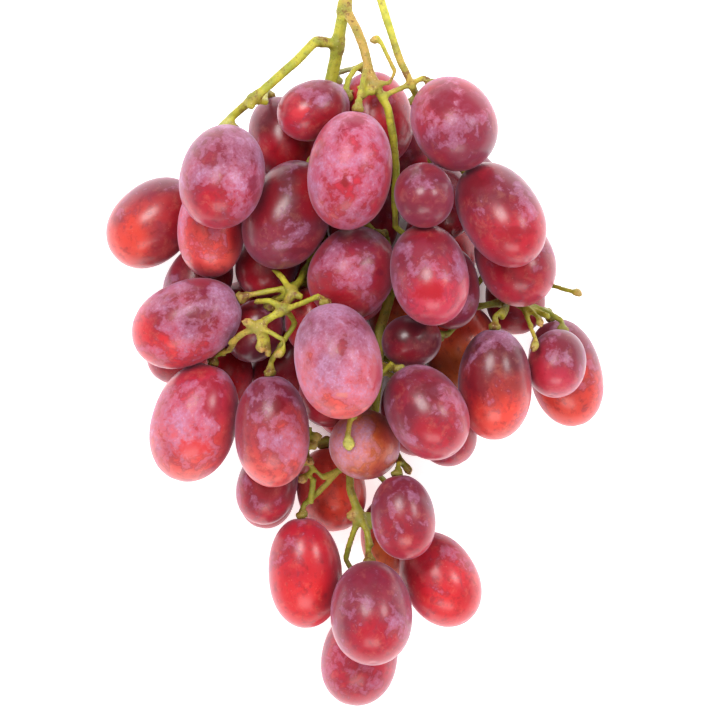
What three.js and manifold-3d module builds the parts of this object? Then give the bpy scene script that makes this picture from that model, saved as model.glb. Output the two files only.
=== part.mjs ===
// A bunch of red table grapes, picked and laid on its back. Millimetres, +Z up.
// +Y runs from the tip of the bunch to the cut end of its stalk, and +X across it.
// The stalk with all its branches and berry stalks is one piece, and each berry is a piece.
import * as THREE from "three";
import { mergeVertices } from "three/addons/utils/BufferGeometryUtils.js";
import Module from "manifold-3d";

const wasm = await Module();
wasm.setup();

// Driving dimensions
const SKIN_GAP = 0.35; // between a berry and whatever touches it
const REST_DEPTH = 0.4; // how far a resting berry is flattened against the surface
const BERRY_SIDES = 12;
const BERRY_BANDS = 7;
const BERRY_FULLNESS = 2.2; // 2 is a plain ellipsoid, and more has rounder shoulders
const BERRY_SWELL = 0.03; // how much wider a berry is past its middle, away from its stalk
const LIMB_SIDES = 6;
const TWIG_SIDES = 5;
const TWIG_RADIUS = 0.95;
const CAP_RADIUS = 1.8; // the swollen end of a berry's stalk
const CAP_LENGTH = 3.1;
const BARE_RADIUS = 0.8; // a stalk that lost its berry
const KNOB_RADIUS = 1.35; // the swelling it ends in
const KNOB_LENGTH = 3.2;
const BRUSH_RADIUS = 0.45; // and the torn tip of that
const RING_STEP = 7.5; // between the rings of a branch
const SPUR_STEP = 4.6;
const FRAME_STEPS = 40; // how finely a limb's twist is followed
const LONG_TWIG = 14; // from this length on, a berry's stalk has one more ring

// How the berries and their stalks find room
const SETTLE_ROUNDS = 700;
const HOMING = 0.05; // share of the way home that a berry drifts in a round
const TWIG_ROUNDS = 120;
const TWIG_POINTS = 9;
const TWIG_TRIES = 16; // starting places tried for a berry's stalk
const TWIG_LEAVES = 2.2; // how far a berry's stalk runs straight out of the berry
const BRUSH_VOLUME = 0.5; // what a stalk may take of the gap round a berry before it is hollowed

const STALK_GREEN = 0xa9a63a;
const SKIN = { rose: 0xb05068, plum: 0x8a3c58, red: 0xc23a3a, amber: 0xb5512c };

const point = (xyz) => new THREE.Vector3(...xyz);

// Branches of the stalk: the points each one grows through, and its radius at its root and its end.
const BRANCHES = {
  rachis: {
    through: [[1.8, 121, 31], [-0.6, 109, 31.5], [-3.4, 90, 31], [-5.6, 79, 30], [-8.2, 60, 27.5],
      [-7.5, 48, 26], [-3, 38, 24.5], [4.5, 30.5, 24], [8.6, 23, 25], [7.6, 16, 27], [5.3, 10, 28],
      [4.6, 2, 26.5], [4.2, -8, 21], [1.6, -18, 16.5], [-2.9, -27, 19], [-2.2, -33, 21.5], [-0.4, -39.4, 23.5]],
    root: 2.1,
    end: 1.25,
  },
  left_shoulder: {
    through: [[-5.6, 79, 30], [-9.8, 80.4, 32.5], [-15, 75.8, 36], [-21, 70, 38.5], [-26.7, 65, 40],
      [-31, 61.5, 36], [-35.4, 58, 29.5], [-39.5, 52.5, 25], [-40.6, 48, 21.5]],
    root: 1.6,
    end: 0.95,
  },
  crown: {
    through: [[-3.6, 88.4, 31], [-2, 86.5, 34], [0.6, 78.5, 38], [3.6, 68.8, 41.5], [6.3, 65, 41.5],
      [7.6, 60.5, 41], [8.4, 54, 39.5], [9, 48, 38], [8.8, 41, 36], [9, 33, 34]],
    root: 1.5,
    end: 1.0,
  },
  right_shoulder: {
    through: [[-0.6, 109, 31.5], [2, 100, 34], [5.2, 90, 36.5], [9.4, 76.5, 40], [12.8, 68.5, 40.5],
      [15.4, 64, 33.5], [18, 58, 29.5], [22, 51, 27.5], [27, 46, 26.5], [31, 41.5, 25]],
    root: 1.3,
    end: 0.95,
  },
  left_arm: {
    through: [[-7, 44, 26], [-10.5, 31, 24.5], [-13, 23.5, 28], [-15.6, 18.8, 34], [-17.3, 16.8, 38.5],
      [-19.3, 12.7, 41], [-22.8, 9.8, 42], [-25.8, 8.2, 42.5]],
    root: 1.25,
    end: 1.1,
  },
  right_arm: {
    through: [[8, 18, 26], [13, 15.5, 24], [21, 12.8, 21.5], [30, 13.4, 20], [36, 14.6, 19.5], [40, 15.3, 19.5]],
    root: 1.2,
    end: 1.05,
  },
  low_right: {
    through: [[1.6, -18, 16.5], [5.4, -20.6, 18.5], [8.6, -22.9, 22.5], [10, -25.8, 28]],
    root: 1.0,
    end: 1.0,
  },
  low_left: {
    through: [[-2.9, -27, 19], [-7, -28.6, 22], [-11.7, -29.3, 25], [-14, -28.2, 25.5],
      [-13.8, -25, 25.5], [-13.2, -22, 26], [-12.5, -16.7, 27]],
    root: 1.0,
    end: 0.9,
  },
};

// Short spurs that the photograph shows leading to a berry's stalk.
const SPURS = [
  [[-26.7, 65, 40], [-27.6, 62.5, 40.8]],
  [[-26.7, 65, 40], [-24.6, 64.8, 38.5], [-23.6, 64.4, 36]],
  [[3.6, 68.8, 41.5], [0.5, 68.2, 41.5], [-0.6, 67.9, 41]],
  [[3.6, 68.8, 41.5], [2.9, 66.4, 43.5]],
  [[-17.3, 16.8, 38.5], [-19.6, 20.4, 36], [-21.7, 23.3, 33]],
  [[-17.3, 16.8, 38.5], [-14.4, 15.8, 39.5]],
  [[-19.3, 12.7, 41], [-22.4, 14.6, 40], [-26.2, 14.6, 37]],
  [[-19.3, 12.7, 41], [-17.6, 11.2, 37], [-16.3, 9.2, 33.5]],
  [[-25.8, 8.2, 42.5], [-29, 6.8, 40.5], [-32.6, 4.2, 36]],
  [[-24.6, 8.6, 42.3], [-23.4, 5.4, 41], [-22.8, 1, 39]],
  [[37, 14.8, 19.5], [36.6, 12.6, 24], [35.4, 10.6, 28.5]],
  [[40, 15.3, 19.5], [44, 12.2, 22.5], [47.4, 10.9, 25]],
  [[-11.7, -29.3, 25], [-12.3, -33, 24.5], [-12.5, -36, 23.8]],
  [[-0.4, -39.4, 23.5], [1.9, -43, 24.5], [3, -46.5, 25.5]],
  [[-0.4, -39.4, 23.5], [-1.9, -44, 22.5], [-3.7, -50, 19.5]],
  [[-0.4, -39.4, 23.5], [2.6, -38.8, 21]],
  [[9, 33.5, 34], [12, 31, 33.5], [16, 29.5, 33]],
  [[4.4, -1, 25.6], [6.5, -2, 31], [7.6, -2.4, 35]],
  [[4.4, -1, 25.6], [1.8, -6, 31.5], [-0.6, -11, 36.5], [-1.2, -14.6, 41]],
];

// Stalks that lost their berry. Each ends in a swelling and a torn tip.
const BARE_STALKS = [
  [[3.6, 68.8, 41.5], [6.5, 68.8, 43], [9.2, 69.8, 44], [8.8, 72, 44.5], [7.2, 75.6, 45.5], [5.6, 79, 46],
    [4.2, 80.2, 46], [2.4, 79.4, 46]],
  [[3.2, 68.6, 41.5], [1, 66.6, 43.5], [-0.6, 65.2, 44]],
  [[-25.8, 8.2, 42.5], [-29.4, 9.6, 44]],
  [[-25.4, 8, 42.3], [-25.2, 5, 41.5], [-24.6, 1.6, 41]],
  [[-25.4, 8.2, 42.5], [-20.8, 5.9, 43.5], [-18.2, 4.3, 43.8], [-19.4, 2.2, 44], [-21.3, 1.1, 44]],
  [[38.6, 15, 19.5], [40.8, 13, 22.5], [42.4, 8.8, 28.5], [43.8, 5.4, 32.5], [43, 2, 34]],
  [[40, 15.3, 19.5], [43.3, 13.3, 24], [45.4, 8.4, 29]],
  [[36, 14.6, 19.5], [42.5, 19, 17.6], [47.4, 19, 20], [52, 17.7, 24], [56, 16.5, 27]],
  [[-11.6, -27.2, 24.6], [-13.6, -29, 25.4], [-15.8, -30.8, 26.5]],
  [[-13.8, -25, 25.5], [-12.4, -25.6, 29]],
  [[-13.2, -22, 26], [-10.4, -21.2, 28.5]],
  [[-12.9, -19, 26.5], [-9.2, -19.4, 28.5]],
  [[8.4, -22.9, 22.5], [10.8, -24.8, 26], [12.4, -28.6, 28.5]],
  [[-0.9, -38.4, 23.3], [-3.4, -39.8, 24]],
];

// Berries, grouped as the photograph shows them. Each line gives the centre's x, y and height,
// the berry's length and width, which way its stalk end points round +Z from +X, how far that
// end is raised, and its colour.
const FACE_BERRIES = [
  [-33.8, 45.5, 40, 27.5, 20.9, 78, -28, "rose"],
  [-11.5, 62.5, 34, 19, 14.8, 22, -20, "rose"],
  [-2.5, 47.3, 47, 30, 20.8, 83, -6, "rose"],
  [22.5, 58.8, 40, 25, 20.8, 118, -28, "rose"],
  [16.2, 41.5, 46, 17.5, 15, 100, -50, "plum"],
  [35, 36.3, 44, 29.6, 19.8, 122, -25, "rose"],
  [17.2, 21.5, 46, 27, 19.4, 102, -28, "rose"],
  [-51.6, 34.3, 18, 26, 19.8, 42, -4, "red"],
  [-17.8, 36, 34, 28.5, 21, 65, -10, "plum"],
  [-2.8, 22.1, 35, 24.5, 21.2, 55, -20, "rose"],
  [-43.2, 9.4, 31, 28.8, 20.6, 25, 5, "rose"],
  [-5.5, 0, 47, 29.5, 21.8, 102, -12, "rose"],
  [-41.2, -15.5, 28, 30.5, 21.6, 73, 0, "rose"],
  [-22.2, -17.8, 33, 28.2, 18.8, 92, 2, "red"],
  [-13.8, -53.3, 22, 28, 18.6, 93, 4, "red"],
  [2.8, -63.3, 31, 27, 20.4, 92, -22, "rose"],
  [20, -55, 20, 25.5, 18.6, 120, -12, "red"],
  [10.8, -39.3, 35, 21.5, 15.8, 98, -8, "plum"],
  [16.5, -13, 42, 25.5, 19.6, 122, -15, "rose"],
  [33.8, -6, 31, 28, 18.6, 90, 2, "red"],
  [49.2, -0.9, 27, 17.5, 14.8, 80, -20, "rose"],
];

// Berries that the photograph shows in part, between or beyond those of the face.
const MIDDLE_BERRIES = [
  [-19, 54.2, 22, 22, 17, 108, -10, "plum"],
  [3.8, 60.5, 27, 24, 18.5, 100, -10, "red"],
  [37, 24.8, 28, 26, 19.2, 115, -32, "plum"],
  [-37.6, 31.3, 27, 25, 16.8, 88, -8, "red"],
  [-40.8, 19.5, 14, 21, 16, 60, 0, "rose"],
  [-23.2, -31.2, 21, 20, 15, 75, -8, "plum"],
  [0.8, -19.4, 28.5, 19.5, 17.4, 175, 68, "amber"],
  [20.4, -17.6, 20, 18.5, 15.2, 120, 0, "rose"],
  [13.2, 5, 33, 15.5, 13.2, 10, -30, "plum"],
  [23.8, 18.3, 29, 21, 15, 95, -10, "plum"],
  [-22.5, 25.5, 22, 19, 15.5, 60, -10, "plum"],
  [-24.5, 7.5, 22, 17, 14, 60, 35, "plum"],
  [-12.8, 8, 25, 17, 13.5, 90, -10, "red"],
  [-6.2, -8.5, 27, 21, 16.6, 62, -10, "rose"],
  [-0.2, 19.8, 17, 19, 15, 60, -10, "plum"],
  [21.5, 41, 23, 20, 16.5, 100, -5, "red"],
  [-32.5, -4, 14, 18, 14.5, 70, 10, "plum"],
];

// Berries of the underside, which rest on the surface or nearly so.
const UNDER_BERRIES = [
  [24.5, 3.8, 10, 23, 19, 100, 0, "amber"],
  [51.7, -3.2, 9, 27.5, 18, 104, 0, "red"],
  [37, 14.5, 9, 19, 15, 95, 0, "red"],
  [-29, 15, 9, 20, 16, 20, 25, "plum"],
  [-23.2, -33.2, 7.5, 18, 14, 80, 0, "rose"],
  [8, -44.5, 14, 21, 15.5, 95, 0, "amber"],
  [-7.2, -32.5, 9, 21.5, 17.2, 100, 0, "red"],
  [-0.2, -74.8, 10, 24.6, 19.2, 80, 0, "rose"],
  [9.8, 12, 7, 19, 14.5, 100, 0, "amber"],
  [11.5, 51, 9.5, 22, 16.5, 90, 0, "red"],
  [-30.5, 44, 10, 22, 16.5, 80, 0, "rose"],
  [-18, 40, 10, 24, 18, 80, 0, "plum"],
  [-4, 55, 9, 23, 17.5, 95, 0, "rose"],
  [27, 44, 10, 20, 15, 120, 0, "rose"],
  [0, 37, 9.5, 23, 18, 85, 0, "red"],
  [20.5, 29, 9, 21, 16.5, -60, 0, "plum"],
  [-43.5, 5.5, 8, 20, 15, 60, 0, "rose"],
  [-13.5, 22, 9, 19.5, 15.4, 75, 0, "red"],
  [-20, -3, 9, 21, 16.5, 45, 0, "plum"],
  [-4, -8, 9, 19.5, 16, 80, 0, "rose"],
  [14, -12, 9, 22, 17, 100, 0, "red"],
];

// How readily a berry gives way, across and along the surface and up and down.
const FACE_GIVES = { across: 0.06, up: 1 };
const MIDDLE_GIVES = { across: 0.5, up: 0.8 };
const UNDER_GIVES = { across: 1, up: 0 };

// A berry is held as spheres strung along its axis, each touching its skin from inside.
const STRING = [-1, -0.5, 0, 0.5, 1];

function makeBerry([x, y, z, length, width, turn, raise, skin], gives) {
  const round = THREE.MathUtils.degToRad(turn);
  const up = THREE.MathUtils.degToRad(raise);
  const axis = point([Math.cos(up) * Math.cos(round), Math.cos(up) * Math.sin(round), Math.sin(up)]);
  const half = length / 2;
  const radius = width / 2;
  const reach = (half * half - radius * radius) / half;
  const spheres = STRING.map((share) => ({
    along: share * reach,
    radius: radius * Math.sqrt(1 - (share * share * (half * half - radius * radius)) / (half * half)),
  }));
  const drop = Math.hypot(half * axis.z, radius * Math.cos(up));
  const centre = point([x, y, gives.up ? z : drop - REST_DEPTH]);
  return { centre, home: centre.clone(), axis, half, radius, spheres, drop, gives, skin };
}

const sphereAt = (berry, sphere) => berry.centre.clone().addScaledVector(berry.axis, sphere.along);

// Moves two berries apart along a line, or one alone, each by how readily it gives way.
function partAlong(line, amount, berry, other) {
  const weight = ({ gives }) => gives.across * (line.x ** 2 + line.y ** 2) + gives.up * line.z ** 2;
  const total = weight(berry) + (other ? weight(other) : 0);
  if (total < 1e-9) {
    return;
  }
  const step = amount / total;
  const move = ({ centre, gives }, way) => {
    centre.x += way * step * gives.across * line.x;
    centre.y += way * step * gives.across * line.y;
    centre.z += way * step * gives.up * line.z;
  };
  move(berry, 1);
  if (other) {
    move(other, -1);
  }
}

// The two spheres of a pair of berries that press hardest on each other.
function hardestPress(berry, other) {
  let worst = { depth: 0 };
  for (const one of berry.spheres) {
    const at = sphereAt(berry, one);
    for (const two of other.spheres) {
      const line = at.clone().sub(sphereAt(other, two));
      const depth = one.radius + two.radius + 1.6 * SKIN_GAP - line.length();
      if (depth > worst.depth) {
        worst = { depth, line };
      }
    }
  }
  return worst;
}

// Lets the berries press each other, the branches and the surface until all of them have room.
function settle(berries, branches) {
  for (let round = 0; round < SETTLE_ROUNDS; round += 1) {
    const pull = HOMING * (1 - round / SETTLE_ROUNDS);
    berries.forEach((berry, index) => {
      berry.centre.lerp(berry.home, pull);
      for (const other of berries.slice(index + 1)) {
        if (berry.centre.distanceTo(other.centre) < berry.half + other.half) {
          const { depth, line } = hardestPress(berry, other);
          if (depth > 0) {
            partAlong(line.normalize(), depth, berry, other);
          }
        }
      }
      for (const sphere of berry.spheres) {
        for (const { at, radius } of branches) {
          const line = sphereAt(berry, sphere).sub(at);
          const depth = sphere.radius + radius + 2 * SKIN_GAP - line.length();
          if (depth > 0) {
            partAlong(line.normalize(), depth, berry);
          }
        }
      }
      if (berry.gives.up) {
        berry.centre.z = Math.max(berry.centre.z, berry.drop + SKIN_GAP);
      }
    });
  }
}

// A closed mesh's geometry as a solid.
function solidOf(geometry) {
  const bare = geometry.clone();
  bare.deleteAttribute("normal");
  bare.deleteAttribute("uv");
  const merged = mergeVertices(bare, 1e-4);
  return new wasm.Manifold(new wasm.Mesh({
    numProp: 3,
    vertProperties: merged.attributes.position.array,
    triVerts: new Uint32Array(merged.index.array),
  }));
}

function geometryOf(solid) {
  const { numProp, numVert, vertProperties, triVerts } = solid.getMesh();
  const places = new Float32Array(3 * numVert);
  for (let vertex = 0; vertex < numVert; vertex += 1) {
    places.set(vertProperties.subarray(vertex * numProp, vertex * numProp + 3), 3 * vertex);
  }
  const geometry = new THREE.BufferGeometry();
  geometry.setAttribute("position", new THREE.BufferAttribute(places, 3));
  geometry.setIndex(new THREE.BufferAttribute(triVerts, 1));
  geometry.computeVertexNormals();
  return geometry;
}

// A berry's skin about its own middle, with its stalk end at +Y.
function berryGeometry({ half, radius }) {
  const geometry = new THREE.SphereGeometry(1, BERRY_SIDES, BERRY_BANDS);
  const places = geometry.attributes.position;
  for (let index = 0; index < places.count; index += 1) {
    const along = THREE.MathUtils.clamp(places.getY(index), -1, 1);
    const round = Math.sqrt(1 - along * along);
    const full = Math.sqrt(1 - Math.abs(along) ** BERRY_FULLNESS) * (1 - BERRY_SWELL * along);
    const widen = round > 1e-6 ? (radius * full) / round : 0;
    places.setXYZ(index, places.getX(index) * widen, along * half, places.getZ(index) * widen);
  }
  return geometry;
}

const SURFACE_SLAB = new THREE.BoxGeometry(400, 400, 40).translate(0, 0, -20);

// A berry, flattened where it rests on the surface.
function berryMesh(berry, name) {
  const mesh = new THREE.Mesh();
  mesh.name = name;
  mesh.material = new THREE.MeshStandardMaterial({ color: SKIN[berry.skin], roughness: 0.45, metalness: 0 });
  mesh.position.copy(berry.centre);
  mesh.quaternion.setFromUnitVectors(new THREE.Vector3(0, 1, 0), berry.axis);
  mesh.updateMatrix();
  const slab = solidOf(SURFACE_SLAB.clone().applyMatrix4(mesh.matrix.clone().invert()));
  mesh.geometry = geometryOf(solidOf(berryGeometry(berry)).subtract(slab));
  return mesh;
}

// A round limb along a curve: a turned profile, with each of its rings carried to its place.
// A station is a share of the curve's length, and the limb's radius there.
function limb(curve, stations, sides) {
  const profile = stations.map(([, radius], ring) => new THREE.Vector2(radius, ring));
  profile.unshift(new THREE.Vector2(0, 0));
  profile.push(new THREE.Vector2(0, stations.length - 1));
  const geometry = new THREE.LatheGeometry(profile, sides);
  const frames = curve.computeFrenetFrames(FRAME_STEPS, false);
  const places = geometry.attributes.position;
  for (let index = 0; index < places.count; index += 1) {
    const [share] = stations[Math.round(places.getY(index))];
    const step = Math.round(share * FRAME_STEPS);
    const place = curve.getPointAt(share)
      .addScaledVector(frames.normals[step], places.getZ(index))
      .addScaledVector(frames.binormals[step], places.getX(index));
    places.setXYZ(index, place.x, place.y, place.z);
  }
  return solidOf(geometry);
}

const curveThrough = (points) => new THREE.CatmullRomCurve3(points, false, "centripetal");

// Stations at even steps, thinning from a limb's root to its end.
function evenStations(count, root, end) {
  return Array.from({ length: count + 1 }, (_, ring) => (
    [ring / count, THREE.MathUtils.lerp(root, end, ring / count)]));
}

function branchSolid({ through, root, end }) {
  const curve = curveThrough(through.map(point));
  return limb(curve, evenStations(Math.round(curve.getLength() / RING_STEP), root, end), LIMB_SIDES);
}

// Points along every branch, where a berry's stalk may grow from and which berries keep off.
function branchPoints() {
  return Object.values(BRANCHES).flatMap(({ through, root, end }) => {
    const curve = curveThrough(through.map(point));
    const count = Math.round(curve.getLength() / 2);
    return curve.getSpacedPoints(count).map((at, index) => ({
      at,
      radius: THREE.MathUtils.lerp(root, end, index / count),
    }));
  });
}

// How deep a point of a berry's stalk lies in the berries, and the way out.
function pressOf(at, spheres) {
  let worst = { depth: 0 };
  for (const { centre, radius } of spheres) {
    const depth = radius + TWIG_RADIUS - at.distanceTo(centre);
    if (depth > worst.depth) {
      worst = { depth, line: at.clone().sub(centre).normalize() };
    }
  }
  return worst;
}

// Bends a line of points clear of the berries, with its start and its last two points held.
function bendClear(points, spheres) {
  const margin = spheres.map(({ centre, radius }) => ({ centre, radius: radius + 2 * SKIN_GAP }));
  for (let round = 0; round < TWIG_ROUNDS; round += 1) {
    for (let index = 1; index < points.length - 2; index += 1) {
      const middle = points[index - 1].clone().add(points[index + 1]).multiplyScalar(0.5);
      points[index].lerp(middle, 0.5);
      const { depth, line } = pressOf(points[index], margin);
      if (depth > 0) {
        points[index].addScaledVector(line, depth);
      }
    }
  }
  return points;
}

// What a way costs: its length, and dearly any part of it that still touches a berry.
function costOf(points, spheres) {
  const curve = new THREE.CatmullRomCurve3(points, false, "centripetal");
  const touching = curve.getSpacedPoints(24).reduce((sum, at) => sum + pressOf(at, spheres).depth, 0);
  return curve.getLength() + 40 * touching;
}

// The best way of a berry's stalk, from some place on a branch to the end that faces the berry.
function twigWay({ tip, faces }, sources, spheres) {
  const leave = tip.clone().addScaledVector(faces, -TWIG_LEAVES);
  const sorted = [...sources].sort((one, two) => one.at.distanceTo(leave) - two.at.distanceTo(leave));
  const starts = [];
  for (const { at } of sorted) {
    if (starts.length < TWIG_TRIES && starts.every((other) => other.distanceTo(at) > 2.5)) {
      starts.push(at);
    }
  }
  const close = spheres.filter(({ centre, radius }) => centre.distanceTo(leave) < radius + 30);
  const ways = starts.map((start) => {
    const points = [];
    for (let index = 0; index < TWIG_POINTS; index += 1) {
      points.push(start.clone().lerp(leave, index / (TWIG_POINTS - 1)));
    }
    return bendClear([...points, tip], close);
  });
  const costs = ways.map((way) => costOf(way, close));
  return ways[costs.indexOf(Math.min(...costs))];
}

// A berry's stalk, widening at its end into the cap that holds the berry.
function twigSolid(points) {
  const curve = curveThrough(points);
  const length = curve.getLength();
  const neck = Math.max(0.4, 1 - CAP_LENGTH / length);
  const stations = evenStations(length < LONG_TWIG ? 2 : 3, TWIG_RADIUS, TWIG_RADIUS)
    .map(([share, radius]) => [neck * share, radius]);
  return limb(curve, [...stations, [1, CAP_RADIUS]], TWIG_SIDES);
}

function spurSolid(through) {
  const curve = curveThrough(through.map(point));
  const count = Math.max(1, Math.round(curve.getLength() / SPUR_STEP));
  return limb(curve, evenStations(count, TWIG_RADIUS + 0.05, TWIG_RADIUS + 0.05), TWIG_SIDES);
}

function bareSolid(through) {
  const curve = curveThrough(through.map(point));
  const neck = Math.max(0.2, 1 - KNOB_LENGTH / curve.getLength());
  const stations = evenStations(through.length > 4 ? 4 : 1, BARE_RADIUS, BARE_RADIUS)
    .map(([share, radius]) => [neck * share, radius]);
  stations.push(
    [THREE.MathUtils.lerp(neck, 1, 0.35), KNOB_RADIUS],
    [THREE.MathUtils.lerp(neck, 1, 0.7), 0.9 * KNOB_RADIUS],
    [1, BRUSH_RADIUS],
  );
  return limb(curve, stations, TWIG_SIDES);
}

const berries = [
  ...FACE_BERRIES.map((line) => makeBerry(line, FACE_GIVES)),
  ...MIDDLE_BERRIES.map((line) => makeBerry(line, MIDDLE_GIVES)),
  ...UNDER_BERRIES.map((line) => makeBerry(line, UNDER_GIVES)),
];
const sources = branchPoints();
settle(berries, sources);

function stalkSolid() {
  const parts = [
    ...Object.values(BRANCHES).map(branchSolid),
    ...SPURS.map(spurSolid),
    ...BARE_STALKS.map(bareSolid),
  ];
  const grown = [...sources];
  for (const through of SPURS) {
    grown.push(...curveThrough(through.map(point)).getSpacedPoints(4).map((at) => ({ at })));
  }
  const spheres = berries.flatMap((berry) => berry.spheres.map((sphere) => ({
    centre: sphereAt(berry, sphere),
    radius: sphere.radius,
  })));
  const nearest = ({ tip }) => Math.min(...grown.map(({ at }) => at.distanceTo(tip)));
  const ends = berries.map(({ centre, axis, half }) => ({
    tip: centre.clone().addScaledVector(axis, half + SKIN_GAP),
    faces: axis.clone().negate(),
  }));
  ends.sort((one, two) => nearest(one) - nearest(two));
  for (const end of ends) {
    const way = twigWay(end, grown, spheres);
    parts.push(twigSolid(way));
    grown.push(...way.slice(2, -3).map((at) => ({ at })));
  }
  // Where a stalk still brushes past a berry, it is hollowed to leave the berry its room.
  return berries.reduce((stalk, berry) => {
    const shape = berryMesh({ ...berry, half: berry.half + SKIN_GAP, radius: berry.radius + SKIN_GAP }, "room");
    const room = solidOf(shape.geometry.clone().applyMatrix4(shape.matrix));
    return stalk.intersect(room).volume() > BRUSH_VOLUME ? stalk.subtract(room) : stalk;
  }, wasm.Manifold.union(parts));
}

const stalk = new THREE.Mesh(
  geometryOf(stalkSolid()),
  new THREE.MeshStandardMaterial({ color: STALK_GREEN, roughness: 0.6, metalness: 0 }),
);
stalk.name = "stalk";

const bunch = new THREE.Group();
bunch.add(stalk);
berries.forEach((berry, index) => {
  bunch.add(berryMesh(berry, "grape_" + String(index + 1).padStart(2, "0")));
});

// The origin is on the surface, under the middle of the bunch's box.
const middle = new THREE.Box3().setFromObject(bunch, true).getCenter(new THREE.Vector3());
bunch.position.set(-middle.x, -middle.y, 0);

export default bunch;
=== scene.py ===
"""A bunch of red table grapes laid on its back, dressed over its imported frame."""
import math
import random

import bmesh
import bpy
from mathutils import Matrix, Vector, kdtree, noise


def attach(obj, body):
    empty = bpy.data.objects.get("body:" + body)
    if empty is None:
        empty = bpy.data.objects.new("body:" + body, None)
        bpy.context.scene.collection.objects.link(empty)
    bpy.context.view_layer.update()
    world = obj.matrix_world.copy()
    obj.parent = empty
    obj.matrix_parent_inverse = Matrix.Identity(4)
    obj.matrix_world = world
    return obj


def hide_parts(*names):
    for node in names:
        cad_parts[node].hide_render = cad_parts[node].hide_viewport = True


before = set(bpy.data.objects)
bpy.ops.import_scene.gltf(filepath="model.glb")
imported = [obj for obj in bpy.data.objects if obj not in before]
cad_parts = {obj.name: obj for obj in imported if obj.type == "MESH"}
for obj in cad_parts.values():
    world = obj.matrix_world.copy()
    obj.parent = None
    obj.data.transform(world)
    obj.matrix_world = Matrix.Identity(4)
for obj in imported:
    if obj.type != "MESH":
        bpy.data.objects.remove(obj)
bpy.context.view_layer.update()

MM = 0.001

# In metres: the middle of the photograph in the row frame, the width that the photograph shows
# there, and the camera's height over it.
PHOTO_MIDDLE = Vector((1.30, -17.25, 35.0)) * MM
PHOTO_WIDTH = 180 * MM
CAMERA_HEIGHT = 4.0

# The form of a grape. A FULLNESS of 2 would be an ellipse, and more is fuller.
FULLNESS = 2.2
SWELL = 0.03  # how much wider it is at the far end, and narrower at the stalk
ROUNDER = 1.012  # the CAD's flat faces lie this much inside the round grape
AROUND = 64
RINGS = 44
UNEVEN_TWICE = 0.010
UNEVEN_THRICE = 0.006
LEAN = 0.02
LEAN_TURNS = 0.4
STALK_DIMPLE = 0.5 * MM
STALK_DIMPLE_WIDE = 0.20  # as a share of the radius
BLOSSOM_DENT = 0.25 * MM
BLOSSOM_DENT_WIDE = 0.07

# How far apart the middles of grapes that can touch may be, and which of their points are used.
NEIGHBOUR_REACH = 36 * MM
CLOUD_STEP = 3

# Skin colours, linear: what the bare skin shows, near the stalk and at the far end.
PURPLE = (0.19, 0.007, 0.024)
PLUM = (0.15, 0.004, 0.014)
MAROON = (0.10, 0.001, 0.004)
ROSE = (0.46, 0.020, 0.046)
CRIMSON = (0.39, 0.004, 0.014)
RED = (0.58, 0.013, 0.014)
CORAL = (0.66, 0.070, 0.050)
ORANGE = (0.66, 0.048, 0.024)
AMBER = (0.58, 0.13, 0.020)
DUSK = (0.42, 0.085, 0.036)
CONTACT_SHADE = (0.29, 0.001, 0.004)  # painted shade: deep red where grapes lie close, where they have also rubbed each other clean

# For each grape: skin near the stalk, skin at the far end that is also painted on the lower side as
# light shining through, and how much of it the bloom covers.
LOOKS = {
    1: (PURPLE, CRIMSON, 0.56),
    2: (PLUM, CRIMSON, 0.50),
    3: (ROSE, CRIMSON, 0.55),
    4: (CRIMSON, PURPLE, 0.52),
    5: (PLUM, PURPLE, 0.48),
    6: (PLUM, CRIMSON, 0.47),
    7: (PLUM, ROSE, 0.50),
    8: (PURPLE, ORANGE, 0.42),
    9: (MAROON, PURPLE, 0.49),
    10: (PURPLE, CRIMSON, 0.55),
    11: (PURPLE, RED, 0.55),
    12: (PURPLE, CORAL, 0.58),
    13: (ROSE, CORAL, 0.56),
    14: (PURPLE, CORAL, 0.49),
    15: (CRIMSON, RED, 0.43),
    16: (PURPLE, CRIMSON, 0.47),
    17: (CRIMSON, RED, 0.45),
    18: (PLUM, CRIMSON, 0.46),
    19: (PLUM, CRIMSON, 0.50),
    20: (MAROON, ORANGE, 0.45),
    21: (PLUM, ROSE, 0.50),
    22: (PLUM, CRIMSON, 0.46),
    23: (CRIMSON, CRIMSON, 0.42),
    24: (PURPLE, CRIMSON, 0.50),
    25: (RED, CORAL, 0.53),
    26: (PLUM, PURPLE, 0.55),
    27: (PLUM, CRIMSON, 0.48),
    28: (AMBER, DUSK, 0.56),
    29: (PURPLE, CRIMSON, 0.50),
    30: (MAROON, PLUM, 0.42),
    31: (PLUM, PURPLE, 0.50),
    32: (MAROON, CRIMSON, 0.46),
    33: (MAROON, PLUM, 0.36),
    # 39, 44, 45 and 47 lie deep in the bunch: their bright orange and amber skins with little bloom
    #                                          are painted light, the glow of light shining through
    #                                          them in the shade there.
    39: (ORANGE, AMBER, 0.10),
    40: (PURPLE, ORANGE, 0.47),
    44: (ORANGE, AMBER, 0.25),
    45: (ORANGE, ORANGE, 0.18),
    46: (ROSE, CRIMSON, 0.50),
    47: (ORANGE, AMBER, 0.15),
}

# The rest of them take these in turn.
OTHERS = [
    (PURPLE, CRIMSON, 0.45),
    (PLUM, CRIMSON, 0.42),
    (CRIMSON, RED, 0.40),
    (PURPLE, CRIMSON, 0.48),
]

# Patterns over a grape: waves in a metre, and how far the grapes lie apart in the pattern.
PATTERNS = {"broad": (120, 9), "small": (260, 5), "blotch": (190, 3), "rubbed_and_shaded": (230, 7)}
BROAD_WANDER = 0.55
SMALL_WANDER = 0.22

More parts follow.
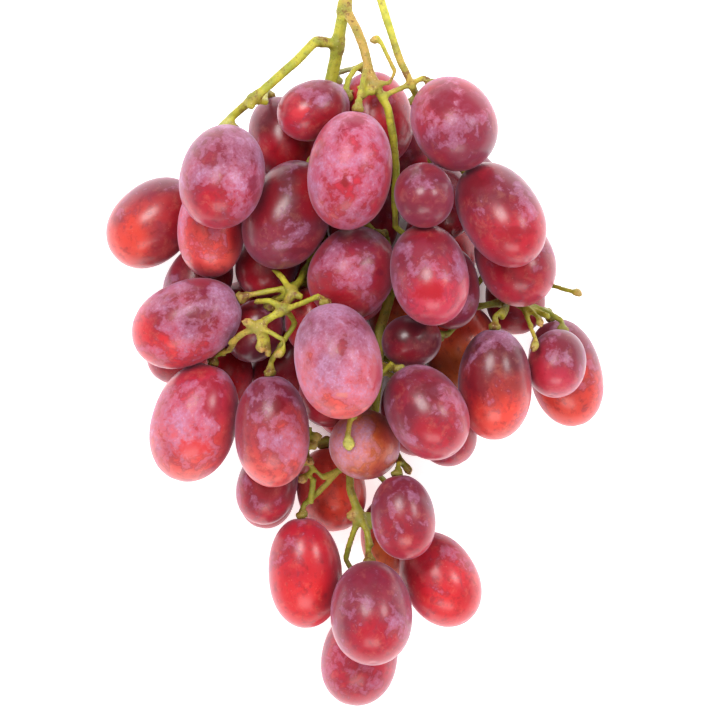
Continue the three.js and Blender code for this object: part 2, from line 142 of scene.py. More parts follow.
# The skin turns from one colour to the other along the grape, and down the bunch as painted light:
# each grape's lower side takes the far end's brighter colour, a glow of light shining through.
END_TURNS = (-0.55, 0.75)
PAINTED_GLOW_BY_DOWN = 0.35
END_BY_ALONG = 0.55
BLOTCH_EDGE = (0.12, 0.55)
BLOTCH_SHADE = 0.62
BLOTCH_SHARE = 0.5

# Gaps to the next grape within which the skin is rubbed clean of bloom and painted with shade in
# deep red, and beyond which it isn't.
RUBBED_AND_SHADED_GAPS = (0.8 * MM, 5.6 * MM)
CONTACT_SHADE_SHARE = 0.82
RUBBED_FILM = 0.42

# Shares of the half length, and how much more or less bloom there is at each end.
STALK_END = (0.55, 0.98)
STALK_END_FILM = 0.08
BLOSSOM_END = (0.3, 1.0)
BLOSSOM_END_FILM = 0.10

# Rubbed marks and scars on a grape, and on grape 6 a painted shade: the place over the bunch in
# millimetres from the photograph's middle, the half widths across and along the bunch, and the
# colour.
MARKS = {
    1: [
        ((-26.8, 44.3), (1.5, 2.4), (0.19, 0.000, 0.014)),
        ((-37.0, 42.9), (2.0, 0.8), (0.28, 0.003, 0.020)),
    ],
    2: [
        ((-15.0, 61.5), (2.4, 1.8), (0.48, 0.020, 0.030)),
        ((-9.2, 68.2), (2.2, 1.3), (0.18, 0.008, 0.024)),
    ],
    3: [
        ((-3.5, 43.8), (1.0, 1.6), (0.22, 0.000, 0.004)),
        ((-1.6, 59.4), (3.6, 2.2), (0.24, 0.006, 0.026)),
    ],
    4: [
        ((20.6, 65.6), (3.6, 5.2), (0.19, 0.000, 0.012)),
        ((27.8, 63.6), (5.0, 3.2), (0.22, 0.006, 0.024)),
    ],
    6: [
        # The first of grape 6's is painted shade: dark red where grapes 4 and 5 shade it.
        ((26.8, 43.6), (4.6, 4.6), (0.15, 0.000, 0.004)),
        ((39.0, 32.6), (4.6, 1.3), (0.27, 0.000, 0.008)),
    ],
    7: [
        ((17.8, 17.4), (4.4, 2.2), (0.36, 0.000, 0.007)),
        ((15.3, 28.3), (2.8, 2.4), (0.23, 0.012, 0.030)),
    ],
    9: [
        ((-23.2, 40.0), (4.4, 6.2), (0.16, 0.000, 0.004)),
        ((-15.5, 27.5), (4.0, 0.9), (0.14, 0.001, 0.008)),
    ],
    10: [
        ((4.6, 21.8), (1.5, 1.0), (0.18, 0.000, 0.010)),
        ((1.0, 24.0), (0.9, 0.8), (0.16, 0.001, 0.014)),
    ],
    12: [
        ((-4.6, -9.0), (1.9, 0.7), (0.52, 0.10, 0.075)),
        ((3.6, -3.4), (1.8, 3.4), (0.40, 0.008, 0.022)),
    ],
    13: [
        ((-36.5, -9.5), (2.6, 5.0), (0.30, 0.006, 0.022)),
        ((-42.0, -22.5), (4.6, 2.2), (0.55, 0.022, 0.022)),
    ],
    14: [
        ((-20.4, -11.0), (1.8, 1.8), (0.16, 0.000, 0.005)),
        ((-29.5, -12.0), (1.8, 5.0), (0.24, 0.000, 0.005)),
    ],
    18: [
        ((9.8, -39.2), (1.2, 1.4), (0.24, 0.000, 0.010)),
    ],
    19: [
        ((17.0, -8.0), (3.2, 2.4), (0.13, 0.001, 0.008)),
        ((12.5, -12.5), (1.8, 2.2), (0.14, 0.002, 0.014)),
    ],
    20: [
        ((29.0, -5.0), (3.4, 4.6), (0.15, 0.000, 0.004)),
    ],
    30: [
        ((11.5, 8.0), (5.0, 4.2), (0.07, 0.001, 0.003)),
    ],
}
MARKS_EACH = 2
NO_MARK = ((10.0, 10.0, 10.0), (1.0, 1.0, 1.0), (0.0, 0.0, 0.0))  # far from every grape
MARK_COVERS = 0.92
MARK_CLEARS = 0.85

# Bloom, thin and thick, the waxy scuffs on it, and how it shines at a grazing angle.
FILM = (0.33, 0.110, 0.215)
PALE_FILM = (0.45, 0.235, 0.39)
WAX = (0.70, 0.46, 0.58)
SHEEN = (0.74, 0.60, 0.88)

# Deep red at the edges of the bloom, flesh that shows through as marbling, and pale specks.
DEEP = (0.12, 0.001, 0.005)
FLESH = (0.95, 0.42, 0.26)
SPECK = (0.75, 0.36, 0.30)

# Sockets of a Mix node that blends colours.
MIX_SHARE, MIX_ONE, MIX_TWO, MIX_RESULT = 0, 6, 7, 2

# Bark, new to old: yellow, light at the top of the bunch, olive at its back, tan, and woody, with
# the torn and the cut ends.
YELLOW = (0.44, 0.40, 0.030)
LIGHT = (0.74, 0.70, 0.10)
OLIVE = (0.20, 0.20, 0.016)
TAN = (0.44, 0.25, 0.060)
WOOD = (0.25, 0.17, 0.035)
TORN = (0.52, 0.26, 0.085)
CUT = (0.66, 0.56, 0.12)

# What is laid on the bark in its material.
GREEN = (0.13, 0.20, 0.020)
BROWN = (0.17, 0.070, 0.018)
FLECK = (0.15, 0.085, 0.020)
WART = (0.62, 0.45, 0.22)

# Where the bark changes: up the bunch for the first, by height above the floor for the next two,
# and in patches for tan.
LIGHT_TOP = (55 * MM, 90 * MM)
OLIVE_BACK = (12 * MM, 40 * MM)
FRONT = (30 * MM, 34 * MM)
TAN_EDGE = (0.1, 0.5)
TAN_WAVES = 55
TAN_SHIFT = Vector((3, 1, 7))

# The caps: a lens shape at each grape's stalk end, and the end of the twig pressed onto it. Then
# all of the stalk is remeshed and smoothed.
CAP_WIDTH = 1.85 * MM
CAP_HEIGHT = 0.95 * MM
CAP_REACH = 2.3 * MM
CAP_ABOVE = 0.7 * MM
CAP_LIFT = 0.55 * MM
CAP_PRESS = 0.85 * MM
STALK_VOXEL = 0.42 * MM
STALK_RELAXED = 7

# Relief of the bark in millimetres: its lumps, as waves in a metre and height, how much they
# show in each place, and how far the twigs bend to and fro.
BARK_LUMPS = ((700, 0.5), (1500, 0.3))
PLAIN_ROUGH = 0.12
CAP_ROUGH = 0.40
KNUCKLE_ROUGH = 0.30
TORN_ROUGH = 0.70
KNUCKLE_SWELL = 0.40
BARK_SINK = 0.04
SWAY_WAVES = 110
SWAY = 0.5
SWAY_SEED = 5

# Round a cap, knuckle, torn tip or cut, and beside the tan stem: how far its look reaches in
# full, and how far it reaches at all.
CAP_SPREAD = (1.8 * MM, 3.6 * MM)
KNUCKLE_SPREAD = (0.8 * MM, 3.6 * MM)
TORN_SPREAD = (1.0 * MM, 3.2 * MM)
CUT_SPREAD = (1.2 * MM, 2.4 * MM)
TAN_SPREAD = (1.6 * MM, 3.0 * MM)

# How strongly each colour of the bark comes in, and how woody it is.
OLIVE_SHARE = 0.75
TAN_SHARE = 0.6
TAN_MOST = 0.85
TAN_STEM_SHARE = 1.4
WOOD_SHARE = 0.75
KNUCKLE_WOOD = 0.8
TORN_SHARE = 0.9
WOODY_PLAIN = 0.22
WOODY_PLACES = 0.75
WOODY_TAN = 0.4

# Swollen, woody places of the stalk, in millimetres from the photograph's middle.
KNUCKLES = [
    (-5.6, 79, 30),
    (-3.6, 88.4, 31),
    (-9.8, 80.4, 32.5),
    (-26.7, 65, 40),
    (3.6, 68.8, 41.5),
    (-17.3, 16.8, 38.5),
    (-19.3, 12.7, 41),
    (-25.8, 8.2, 42.5),
    (36, 14.6, 19.5),
    (40, 15.3, 19.5),
    (1.6, -18, 16.5),
    (-13.8, -25, 25.5),
    (8.6, -22.9, 22.5),
    (-0.4, -39.4, 23.5),
]

# Torn tips of the twigs that lost their berry, in the same millimetres.
TORN_TIPS = [
    (2.4, 79.4, 46),
    (-0.6, 65.2, 44),
    (-29.4, 9.6, 44),
    (-24.6, 1.6, 41),
    (-21.3, 1.1, 44),
    (43, 2, 34),
    (45.4, 8.4, 29),
    (56, 16.5, 27),
    (-15.8, -30.8, 26.5),
    (-12.4, -25.6, 29),
    (-10.4, -21.2, 28.5),
    (-9.2, -19.4, 28.5),
    (12.4, -28.6, 28.5),
    (-3.4, -39.8, 24),
]

# The pale cut end of a twig that a grape has fallen from, in the row frame.
CUT_KNOB = PHOTO_MIDDLE.xy + Vector((-2.8, -20.8)) * MM

# The two ends, as seen from above, of the side stem that has turned woody and tan.
TAN_STEM = [PHOTO_MIDDLE.xy + Vector(end) * MM for end in ((-2.6, 92.0), (3.4, 70.0))]

# The floor: white, with a painted glow outside an oval, and a painted shadow in the oval under the
# bunch, where the glow falls away.
FLOOR_REACH = 12.0
FLOOR_BELOW = 0.2 * MM
FLOOR_WHITE = (0.92, 0.92, 0.92)
GLOW_MIDDLE = (PHOTO_MIDDLE.x, PHOTO_MIDDLE.y + 21 * MM, 0)
GLOW_ACROSS = 42 * MM
GLOW_ALONG = 56 * MM

# Lamps by name, place, size in metres and power in watts, and the point that they face.
SOFTBOXES = [
    ("key", (-0.28, 0.55, 1.05), (0.50, 0.40), 11),
    ("fill", (0.75, 0.45, 0.85), (0.30, 0.30), 5),
    ("front", (0.0, -1.0, 0.9), (0.9, 0.5), 7),
]
LIT = Vector((0, 0, 0.03))
SKY = (1.0, 0.99, 0.985)
SKY_POWER = 0.64
SENSOR = 36


def shape(along):
    """How wide a grape is at a share of its half length, from 1 at the stalk to -1."""
    return math.sqrt(max(0.0, 1 - abs(along) ** FULLNESS)) * (1 - SWELL * along)


def measure(node, stalk_tree):
    """A CAD grape's middle, the way to its stalk end, its half length and its radius."""
    points = [v.co.copy() for v in node.data.vertices]
    first, second = max(
        ((a, b) for i, a in enumerate(points) for b in points[i + 1:]),
        key=lambda pair: (pair[0] - pair[1]).length_squared,
    )
    if stalk_tree.find(first)[2] > stalk_tree.find(second)[2]:
        first, second = second, first
    middle = (first + second) / 2
    half = (first - second).length / 2
    axis = (first - second).normalized()
    girth = 0.0
    for p in points:
        out = p - middle
        girth = max(girth, (out - axis * out.dot(axis)).length)
    return {"middle": middle, "axis": axis, "half": half, "radius": girth * ROUNDER}


def tree_of(points):
    """A tree that finds the nearest of the points."""
    tree = kdtree.KDTree(len(points))
    for index, p in enumerate(points):
        tree.insert(p, index)
    tree.balance()
    return tree


def mix(one, two, share):
    """A colour on the way from one to another."""
    return tuple(a + (b - a) * share for a, b in zip(one, two))


def smooth(low, high, value):
    """0 below low, 1 above high, and an even curve between them."""
    share = min(1.0, max(0.0, (value - low) / (high - low)))
    return share * share * (3 - 2 * share)


def near(low, high, value):
    """1 below low, 0 above high, and an even curve between them."""
    return 1 - smooth(low, high, value)


def add_floats(mesh, name, values):
    mesh.attributes.new(name, "FLOAT", "POINT").data.foreach_set("value", values)


def add_vectors(mesh, name, values):
    flat = [c for v in values for c in v]
    mesh.attributes.new(name, "FLOAT_VECTOR", "POINT").data.foreach_set("vector", flat)


def add_colours(mesh, name, values):
    flat = [c for v in values for c in (*v, 1.0)]
    mesh.attributes.new(name, "FLOAT_COLOR", "POINT").data.foreach_set("color", flat)


def link(obj):
    bpy.context.scene.collection.objects.link(obj)
    return obj


def grape_mesh(name, facts, draw):
    """The grape about its own middle with its stalk end at +Z, slightly uneven as real ones are."""
    half, radius = facts["half"], facts["radius"]
    # The last two are spare, and stay for the order of the draws.
    phases = [draw.uniform(0, math.tau) for _ in range(4)]
    lean = draw.uniform(-LEAN, LEAN)
    verts, faces, rings = [], [], []
    for ring in range(RINGS + 1):
        along = math.cos(math.pi * ring / RINGS)
        count = 1 if ring in (0, RINGS) else AROUND
        rings.append(range(len(verts), len(verts) + count))
        for side in range(count):
            turn = math.tau * side / AROUND
            wave = UNEVEN_TWICE * math.sin(2 * turn + phases[0])
            wave += UNEVEN_THRICE * math.sin(3 * turn + phases[1] + along)
            wide = radius * shape(along) * (1 + wave)
            bend = lean * radius * (along * along - LEAN_TURNS)
            reach = wide / radius
            height = along * half
            if along > 0:
                height -= STALK_DIMPLE * math.exp(-((reach / STALK_DIMPLE_WIDE) ** 2))
            else:
                height += BLOSSOM_DENT * math.exp(-((reach / BLOSSOM_DENT_WIDE) ** 2))
            verts.append(Vector((wide * math.cos(turn) + bend, wide * math.sin(turn), height)))
    for upper, lower in zip(rings, rings[1:]):
        for side in range(AROUND):
            after = (side + 1) % AROUND
            if len(upper) == 1:
                faces.append((upper[0], lower[side], lower[after]))
            elif len(lower) == 1:
                faces.append((upper[side], lower[0], upper[after]))
            else:
                faces.append((upper[side], lower[side], lower[after], upper[after]))
    mesh = bpy.data.meshes.new(name)
    mesh.from_pydata(verts, [], faces)
    mesh.polygons.foreach_set("use_smooth", [True] * len(faces))
    return mesh


def placed(facts, draw):
    """Where a grape lies: at its middle, along its axis, and turned about it by chance."""
    turn = Matrix.Rotation(draw.uniform(0, math.tau), 4, "Z")
    lie = facts["axis"].to_track_quat("Z", "Y").to_matrix().to_4x4()
    return Matrix.Translation(facts["middle"]) @ lie @ turn


def dress_grape(number, mesh, matrix, facts, others, draw):
    """Puts a grape in its place, with its skin's colour and its bloom at every point."""
    near_stalk, far_end_and_glow, bloom = LOOKS.get(number, OTHERS[number % len(OTHERS)])
    shift = Vector([draw.uniform(-1, 1) for _ in range(3)])

    def pattern(name, at):
        waves, apart = PATTERNS[name]
        return noise.noise(at * waves + shift * apart)

    skins, films, places, here = [], [], [], []
    for vertex in mesh.vertices:
        at = vertex.co
        world = matrix @ at
        along = at.z / facts["half"]
        down = -(world.y - facts["middle"].y) / facts["half"]
        wander = pattern("broad", at) * BROAD_WANDER + pattern("small", at) * SMALL_WANDER
        # painted light: the far end's brighter colour also spreads over each grape's lower side
        share = smooth(*END_TURNS, PAINTED_GLOW_BY_DOWN * down - END_BY_ALONG * along + wander)
        blotch = smooth(*BLOTCH_EDGE, pattern("blotch", at))
        gap = others.find(world)[2]
        # Near other grapes the bloom is rubbed off, and the skin is painted with shade.
        rubbed_and_shaded = near(*RUBBED_AND_SHADED_GAPS, gap * (1 + 0.5 * pattern("rubbed_and_shaded", at)))
        skin = mix(near_stalk, far_end_and_glow, share)
        skin = mix(skin, tuple(c * BLOTCH_SHADE for c in skin), BLOTCH_SHARE * blotch)
        # painted shade: the skin turns deep red near other grapes
        skins.append(mix(skin, CONTACT_SHADE, CONTACT_SHADE_SHARE * rubbed_and_shaded))
        stalk_end = smooth(*STALK_END, along)
        blossom_end = smooth(*BLOSSOM_END, -along)
        film = bloom + STALK_END_FILM * stalk_end - BLOSSOM_END_FILM * blossom_end
        films.append(film - RUBBED_FILM * rubbed_and_shaded)
        places.append(at + shift)
        here.append(world)
    add_colours(mesh, "skin", skins)
    add_floats(mesh, "film", films)
    add_vectors(mesh, "place", places)
    mesh.vertices.foreach_set("co", [c for world in here for c in world])
    add_marks(mesh, MARKS.get(number, []), [p for p in here if p.z > facts["middle"].z])


def add_marks(mesh, marks, upper_side):
    """Each mark's middle on the grape, how narrow it is each way, and its colour."""
    count = len(mesh.vertices)
    for index in range(MARKS_EACH):
        spot, narrow, tint = NO_MARK
        if index < len(marks):
            mark, (across, up), tint = marks[index]
            over = PHOTO_MIDDLE.xy + Vector(mark) * MM
            spot = min(upper_side, key=lambda p: (p.xy - over).length)
            narrow = Vector((1 / across, 1 / up, 0.5 / max(across, up))) / MM
        add_vectors(mesh, f"mark_{index}", [spot] * count)
        add_vectors(mesh, f"narrow_{index}", [narrow] * count)
        add_colours(mesh, f"tint_{index}", [tint] * count)


class Nodes:
    """Short ways to add and link the nodes of one material."""

    def __init__(self, name):
        self.material = bpy.data.materials.new(name)
        self.material.use_nodes = True
        self.tree = self.material.node_tree
        self.shader = self.tree.nodes["Principled BSDF"]

    def put(self, target, value):
        """Links a socket to a node's output, or gives it a plain value."""
        if hasattr(value, "is_output"):
            self.tree.links.new(value, target)
        else:
            target.default_value = value

    def attribute(self, name, output):
        node = self.tree.nodes.new("ShaderNodeAttribute")
        node.attribute_name = name
        return node.outputs[output]

    def here(self):
        """The place of a point in the row frame."""
        return self.tree.nodes.new("ShaderNodeTexCoord").outputs["Object"]

    def math(self, operation, *values):
        node = self.tree.nodes.new("ShaderNodeMath")
        node.operation = operation
        for socket, value in zip(node.inputs, values):
            self.put(socket, value)
        return node.outputs["Value"]

    def times(self, one, two):
        return self.math("MULTIPLY", one, two)

    def weigh(self, one, one_share, two, two_share):
        """The sum of two values, each times its share."""
        return self.math("ADD", self.times(one, one_share), self.times(two, two_share))

    def vector(self, operation, *values):
        node = self.tree.nodes.new("ShaderNodeVectorMath")
        node.operation = operation
        for socket, value in zip(node.inputs, values):
            self.put(socket, value)
        return node.outputs["Value" if operation == "LENGTH" else "Vector"]

    def noise(self, place, size, detail, rough, distortion=0.0):
        node = self.tree.nodes.new("ShaderNodeTexNoise")
        self.put(node.inputs["Vector"], place)
        node.inputs["Scale"].default_value = 1 / size
        node.inputs["Detail"].default_value = detail
        node.inputs["Roughness"].default_value = rough
        node.inputs["Distortion"].default_value = distortion
        return node.outputs["Fac"]

    def cells(self, place, size):
        node = self.tree.nodes.new("ShaderNodeTexVoronoi")
        self.put(node.inputs["Vector"], place)
        node.inputs["Scale"].default_value = 1 / size
        return node.outputs["Distance"]

    def ramp(self, value, low, high, start=0.0, end=1.0):
        """From start at low to end at high, on an even curve."""
        node = self.tree.nodes.new("ShaderNodeMapRange")
        node.interpolation_type = "SMOOTHSTEP"
        numbers = {"From Min": low, "From Max": high, "To Min": start, "To Max": end}
        for name, number in numbers.items():
            self.put(node.inputs[name], number)
        self.put(node.inputs["Value"], value)
        return node.outputs["Result"]

    def blend(self, share, one, two):
        node = self.tree.nodes.new("ShaderNodeMix")
        node.data_type = "RGBA"
        self.put(node.inputs[MIX_SHARE], share)
        self.put(node.inputs[MIX_ONE], one)
        self.put(node.inputs[MIX_TWO], two)
        return node.outputs[MIX_RESULT]

    def bump(self, height, strength, distance):
        node = self.tree.nodes.new("ShaderNodeBump")
        node.inputs["Strength"].default_value = strength
        node.inputs["Distance"].default_value = distance
        self.put(node.inputs["Height"], height)
        self.put(self.shader.inputs["Normal"], node.outputs["Normal"])

    def set(self, **values):
        """Sets the shader's inputs, with _ for each space in their names."""
        for name, value in values.items():
            self.put(self.shader.inputs[name.replace("_", " ")], value)


def rgba(colour):
    return (*colour, 1.0)


def grape_skin():
    """Red skin over translucent flesh, under a patchy waxy bloom."""
    n = Nodes("grape_skin")
    place = n.attribute("place", "Vector")
    skin = n.attribute("skin", "Color")
    film = n.attribute("film", "Fac")
    here = n.here()

    # Bloom: broad fields with edges here sharp and there soft, broken by small rubbed places.
    broad = n.noise(place, size=10 * MM, detail=3, rough=0.55, distortion=0.8)
    small = n.noise(place, size=2.4 * MM, detail=4, rough=0.65, distortion=0.4)
    fine = n.noise(place, size=0.7 * MM, detail=3, rough=0.6)
    field = n.weigh(broad, 0.60, small, 0.40)
    level = n.math("ADD", field, n.math("SUBTRACT", film, 0.5))
    sharp = n.ramp(level, low=0.488, high=0.522)
    soft = n.ramp(level, low=0.34, high=0.68)
    mask = n.weigh(sharp, 0.62, soft, 0.38)
    mask = n.times(mask, n.ramp(fine, low=0.30, high=0.65, start=0.55))
    edge = n.times(n.ramp(level, low=0.44, high=0.485), n.ramp(level, low=0.53, high=0.49))

    # Rubbed marks and scars, and grape 6's painted shade, with uneven edges.
    uneven = n.ramp(small, low=0.3, high=0.7, start=0.66, end=1.40)
    marks = []
    for index in range(MARKS_EACH):
        away = n.vector("SUBTRACT", here, n.attribute(f"mark_{index}", "Vector"))
        away = n.vector("MULTIPLY", away, n.attribute(f"narrow_{index}", "Vector"))
        marked = n.ramp(n.times(n.vector("LENGTH", away), uneven), low=1.30, high=0.55)
        mask = n.times(mask, n.math("SUBTRACT", 1.0, n.times(marked, MARK_CLEARS)))
        marks.append((n.times(marked, MARK_COVERS), n.attribute(f"tint_{index}", "Color")))

    # Marbling under the skin, deeper red at the edges of the bloom, and pale specks.
    marble = n.noise(place, size=3.2 * MM, detail=5, rough=0.7, distortion=0.3)
    marble = n.ramp(marble, low=0.50, high=0.70, end=0.26)
    skin = n.blend(marble, skin, n.blend(0.35, skin, rgba(FLESH)))
    deep = n.noise(place, size=1.9 * MM, detail=4, rough=0.65)
    deep = n.ramp(deep, low=0.50, high=0.70, end=0.70)
    deep = n.math("MAXIMUM", deep, n.times(edge, 0.62))
    skin = n.blend(deep, skin, n.blend(0.6, skin, rgba(DEEP)))
    speck = n.ramp(n.cells(place, size=1.5 * MM), low=0.12, high=0.05, end=0.16)
    skin = n.blend(speck, skin, rgba(SPECK))
    for marked, tint in marks:
        skin = n.blend(marked, skin, tint)

    # The colour of the bloom, paler where it is thick, with waxy scuffs.
    tone = n.blend(n.ramp(level, low=0.48, high=0.72), rgba(FILM), rgba(PALE_FILM))
    scuff = n.noise(place, size=0.9 * MM, detail=3, rough=0.7, distortion=0.5)
    scuff = n.ramp(scuff, low=0.58, high=0.68)
    scuff = n.times(scuff, n.ramp(level, low=0.46, high=0.60))
    tone = n.blend(n.times(scuff, 0.45), tone, rgba(WAX))
    veil = n.times(mask, n.ramp(level, low=0.48, high=0.70, start=0.50, end=0.78))

    n.set(Base_Color=n.blend(veil, skin, tone))
    n.set(Roughness=n.ramp(mask, low=0.0, high=1.0, start=0.30, end=0.55))
    n.set(Subsurface_Weight=0.28, Subsurface_Radius=(1.0, 0.22, 0.14))
    n.set(Subsurface_Scale=3.0 * MM)
    n.set(Coat_Weight=0.12, Coat_Roughness=0.20, IOR=1.40)
    n.set(Sheen_Weight=0.22, Sheen_Roughness=0.55, Sheen_Tint=rgba(SHEEN))
    n.bump(n.weigh(fine, 0.5, mask, 0.5), strength=0.22, distance=0.10 * MM)
    return n.material


def stalk_bark():
    """Yellow-green bark with brown blotches and flecks, and pale warts where it is woody."""
    n = Nodes("stalk_bark")
    here = n.here()
    bark = n.attribute("bark", "Color")
    woody = n.attribute("woody", "Fac")
    blotch = n.noise(here, size=4 * MM, detail=4, rough=0.6)
    small = n.noise(here, size=1.1 * MM, detail=4, rough=0.65)
    browned = n.ramp(n.weigh(blotch, 0.6, small, 0.4), low=0.52, high=0.62)
    browned = n.times(browned, n.ramp(woody, low=0.0, high=1.0, start=0.35))
    green = n.noise(here, size=3.0 * MM, detail=3, rough=0.5)
    green = n.ramp(green, low=0.42, high=0.62, end=0.8)
    colour = n.blend(green, bark, n.blend(0.55, bark, rgba(GREEN)))
    colour = n.blend(browned, colour, rgba(BROWN))
    fleck = n.noise(here, size=0.5 * MM, detail=2, rough=0.5)
    fleck = n.ramp(fleck, low=0.60, high=0.70, end=0.6)
    colour = n.blend(fleck, colour, rgba(FLECK))
    wart = n.ramp(n.cells(here, size=0.9 * MM), low=0.22, high=0.08, end=0.75)
    colour = n.blend(n.times(wart, woody), colour, rgba(WART))
    n.set(Base_Color=colour)
    n.set(Roughness=n.ramp(small, low=0.3, high=0.7, start=0.42, end=0.66))
    n.set(Subsurface_Weight=0.12, Subsurface_Radius=(0.8, 0.7, 0.2))
    n.set(Subsurface_Scale=1.0 * MM)
    n.set(IOR=1.45)
    n.bump(n.math("ADD", small, wart), strength=0.35, distance=0.18 * MM)
    return n.material


def grow_stalk(node, tips, tip_tree):
    """The whole stalk as one grown surface, with its caps pressed onto the grapes."""
    mesh = node.data.copy()
    mesh.materials.clear()
    for name in [a.name for a in mesh.attributes if not a.is_required]:
        attribute = mesh.attributes.get(name)
        if attribute is not None:
            mesh.attributes.remove(attribute)
    for vertex in mesh.vertices:
        _, index, distance = tip_tree.find(vertex.co)
        tip, axis = tips[index]
        if distance < CAP_REACH and (vertex.co - tip).dot(axis) < CAP_ABOVE:
            vertex.co -= axis * CAP_PRESS
    body = bmesh.new()
    body.from_mesh(mesh)
    for tip, axis in tips:
        lie = axis.to_track_quat("Z", "Y").to_matrix().to_4x4()
        grow = Matrix.Diagonal((CAP_WIDTH, CAP_WIDTH, CAP_HEIGHT, 1))
        cap = Matrix.Translation(tip + axis * CAP_LIFT) @ lie @ grow
        bmesh.ops.create_icosphere(body, subdivisions=2, radius=1.0, matrix=cap)
    body.to_mesh(mesh)
    body.free()
    shaped = link(bpy.data.objects.new("stalk_shaped", mesh))
    remesh = shaped.modifiers.new("grown", "REMESH")
    remesh.mode = "VOXEL"
    remesh.voxel_size = STALK_VOXEL
    relax = shaped.modifiers.new("relaxed", "SMOOTH")
    relax.factor = 0.5
    relax.iterations = STALK_RELAXED
    view = bpy.context.evaluated_depsgraph_get()
    grown = bpy.data.meshes.new_from_object(shaped.evaluated_get(view))
    bpy.data.objects.remove(shaped)
    grown.name = "stalk_grown"
    return grown


def dress_stalk(node, grapes, material):
    """The grown stalk, with its bark's relief and colour at every point."""
    tips = [(g["middle"] + g["axis"] * g["half"], g["axis"]) for g in grapes.values()]
    tip_tree = tree_of([tip for tip, _ in tips])
    grown = grow_stalk(node, tips, tip_tree)
    over = PHOTO_MIDDLE * Vector((1, 1, 0))
    knuckles = tree_of([over + Vector(place) * MM for place in KNUCKLES])
    torn_tips = tree_of([over + Vector(place) * MM for place in TORN_TIPS])
    tan_foot = TAN_STEM[0]
    tan_way = TAN_STEM[1] - tan_foot
    bark, woody, moved = [], [], []
    noise.seed_set(SWAY_SEED)  # noise_vector would otherwise differ from run to run
    for vertex, vertex_normal in zip(grown.vertices, grown.vertex_normals):
        at, normal = vertex.co, vertex_normal.vector
        cap = near(*CAP_SPREAD, tip_tree.find(at)[2])
        knuckle = near(*KNUCKLE_SPREAD, knuckles.find(at)[2])
        torn = near(*TORN_SPREAD, torn_tips.find(at)[2])

        lump = sum(noise.noise(at * waves) * height for waves, height in BARK_LUMPS)
        rough = PLAIN_ROUGH + CAP_ROUGH * cap + KNUCKLE_ROUGH * knuckle + TORN_ROUGH * torn
        out = lump * rough + KNUCKLE_SWELL * knuckle - BARK_SINK
        sway = noise.noise_vector(at * SWAY_WAVES) * SWAY * (1 - cap)
        moved.extend(at + (normal * out + sway) * MM)

        tone = mix(YELLOW, LIGHT, smooth(*LIGHT_TOP, at.y))
        tone = mix(tone, OLIVE, OLIVE_SHARE * near(*OLIVE_BACK, at.z))
        in_front = smooth(*FRONT, at.z)
        tan = smooth(*TAN_EDGE, noise.noise(at * TAN_WAVES + TAN_SHIFT))
        along = (at.xy - tan_foot).dot(tan_way) / tan_way.length_squared
        beside = (at.xy - tan_foot - tan_way * min(1.0, max(0.0, along))).length
        tan = max(tan, TAN_STEM_SHARE * near(*TAN_SPREAD, beside) * in_front)
        tone = mix(tone, TAN, min(TAN_MOST, TAN_SHARE * tan))
        tone = mix(tone, WOOD, WOOD_SHARE * max(cap, KNUCKLE_WOOD * knuckle))
        tone = mix(tone, TORN, TORN_SHARE * torn)
        cut = near(*CUT_SPREAD, (at.xy - CUT_KNOB).length) * in_front
        bark.append(mix(tone, CUT, cut))
        old = WOODY_PLAIN + WOODY_PLACES * max(cap, knuckle, torn) + WOODY_TAN * tan
        woody.append((1 - cut) * min(1.0, old))
    grown.vertices.foreach_set("co", moved)
    add_colours(grown, "bark", bark)
    add_floats(grown, "woody", woody)
    grown.polygons.foreach_set("use_smooth", [True] * len(grown.polygons))
    grown.materials.append(material)
    return link(bpy.data.objects.new("stalk_grown", grown))


def lay_on_floor(mesh, matrix):
    """Flattens a grape where it would reach below the plane that the bunch lies on."""
    back = matrix.inverted()
    for vertex in mesh.vertices:
        world = matrix @ vertex.co
        if world.z < 0:
            world.z = 0
            vertex.co = back @ world


def dress_all():
    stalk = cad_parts["stalk"]
    stalk_tree = tree_of([v.co for v in stalk.data.vertices])
    grapes = {}
    for name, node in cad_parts.items():
        if name.startswith("grape_"):
            grapes[int(name.split("_")[1])] = measure(node, stalk_tree)
    skin = grape_skin()
    meshes, clouds = {}, {}
    for number, facts in grapes.items():
        draw = random.Random(number)
        mesh = grape_mesh(f"grape_{number:02d}_skin", facts, draw)
        matrix = placed(facts, draw)
        lay_on_floor(mesh, matrix)
        meshes[number] = (mesh, matrix, draw)
        clouds[number] = [matrix @ v.co for v in mesh.vertices][::CLOUD_STEP]
    for number, (mesh, matrix, draw) in meshes.items():
        facts = grapes[number]
        close = []
        for other, cloud in clouds.items():
            apart = (grapes[other]["middle"] - facts["middle"]).length
            if other != number and apart < NEIGHBOUR_REACH:
                close.extend(cloud)
        dress_grape(number, mesh, matrix, facts, tree_of(close), draw)
        mesh.materials.append(skin)
        obj = link(bpy.data.objects.new(f"grape_{number:02d}_skin", mesh))
        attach(obj, "root")
        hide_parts(f"grape_{number:02d}")
    grown = dress_stalk(stalk, grapes, stalk_bark())
    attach(grown, "root")
    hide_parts("stalk")


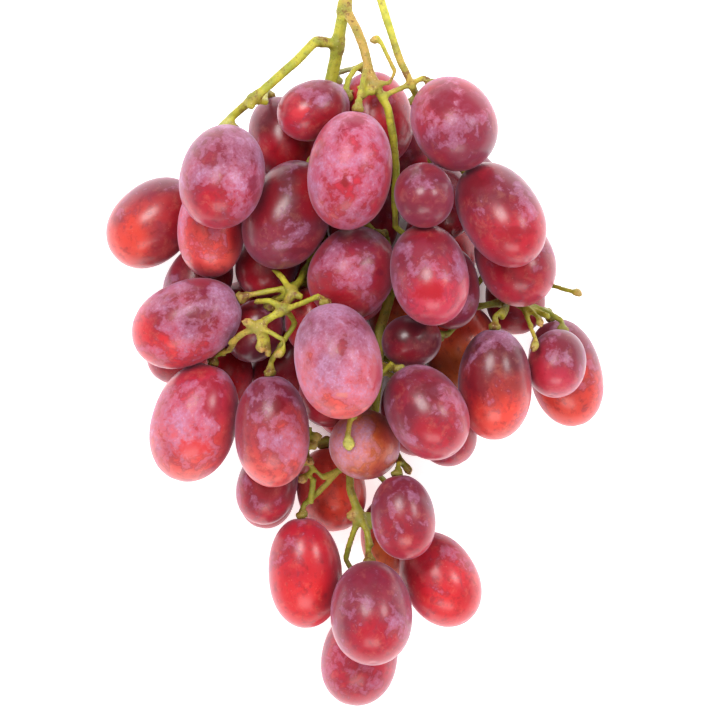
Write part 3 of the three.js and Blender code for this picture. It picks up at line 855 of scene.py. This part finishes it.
def lay_floor():
    """A white floor with a painted glow around the bunch, and a painted shadow under it."""
    mesh = bpy.data.meshes.new("floor")
    signs = ((-1, -1), (1, -1), (1, 1), (-1, 1))
    corners = [(x * FLOOR_REACH, y * FLOOR_REACH, 0) for x, y in signs]
    mesh.from_pydata(corners, [], [(0, 1, 2, 3)])
    n = Nodes("floor_white")
    n.set(Base_Color=rgba(FLOOR_WHITE), Roughness=0.9, Specular_IOR_Level=0.1)
    away = n.vector("SUBTRACT", n.here(), GLOW_MIDDLE)
    away = n.vector("MULTIPLY", away, (1 / GLOW_ACROSS, 1 / GLOW_ALONG, 0))
    # painted light and shadow: the floor glows outside the oval, and hardly at all under the bunch
    glow = n.ramp(n.vector("LENGTH", away), low=0.62, high=0.92, start=0.02, end=0.70)
    n.set(Emission_Color=rgba((1, 1, 1)), Emission_Strength=glow)
    mesh.materials.append(n.material)
    floor = link(bpy.data.objects.new("floor", mesh))
    floor.location.z = -FLOOR_BELOW


def softbox(name, place, size, power):
    """A rectangular lamp that faces the middle of the bunch."""
    data = bpy.data.lights.new(name, "AREA")
    data.shape = "RECTANGLE"
    data.size, data.size_y = size
    data.energy = power
    lamp = link(bpy.data.objects.new(name, data))
    lamp.location = place
    lamp.rotation_euler = (LIT - Vector(place)).to_track_quat("-Z", "Y").to_euler()


def studio():
    lay_floor()
    scene = bpy.context.scene
    world = bpy.data.worlds.new("studio")
    world.use_nodes = True
    background = world.node_tree.nodes["Background"]
    background.inputs["Color"].default_value = rgba(SKY)
    background.inputs["Strength"].default_value = SKY_POWER
    scene.world = world
    scene.view_settings.view_transform = "Standard"
    for softbox_facts in SOFTBOXES:
        softbox(*softbox_facts)

    camera = link(bpy.data.objects.new("camera", bpy.data.cameras.new("camera")))
    camera.data.sensor_width = SENSOR
    camera.data.lens = SENSOR * CAMERA_HEIGHT / PHOTO_WIDTH
    camera.data.clip_start, camera.data.clip_end = 0.1, 60
    camera.location = PHOTO_MIDDLE + Vector((0, 0, CAMERA_HEIGHT))
    scene.camera = camera


dress_all()
studio()
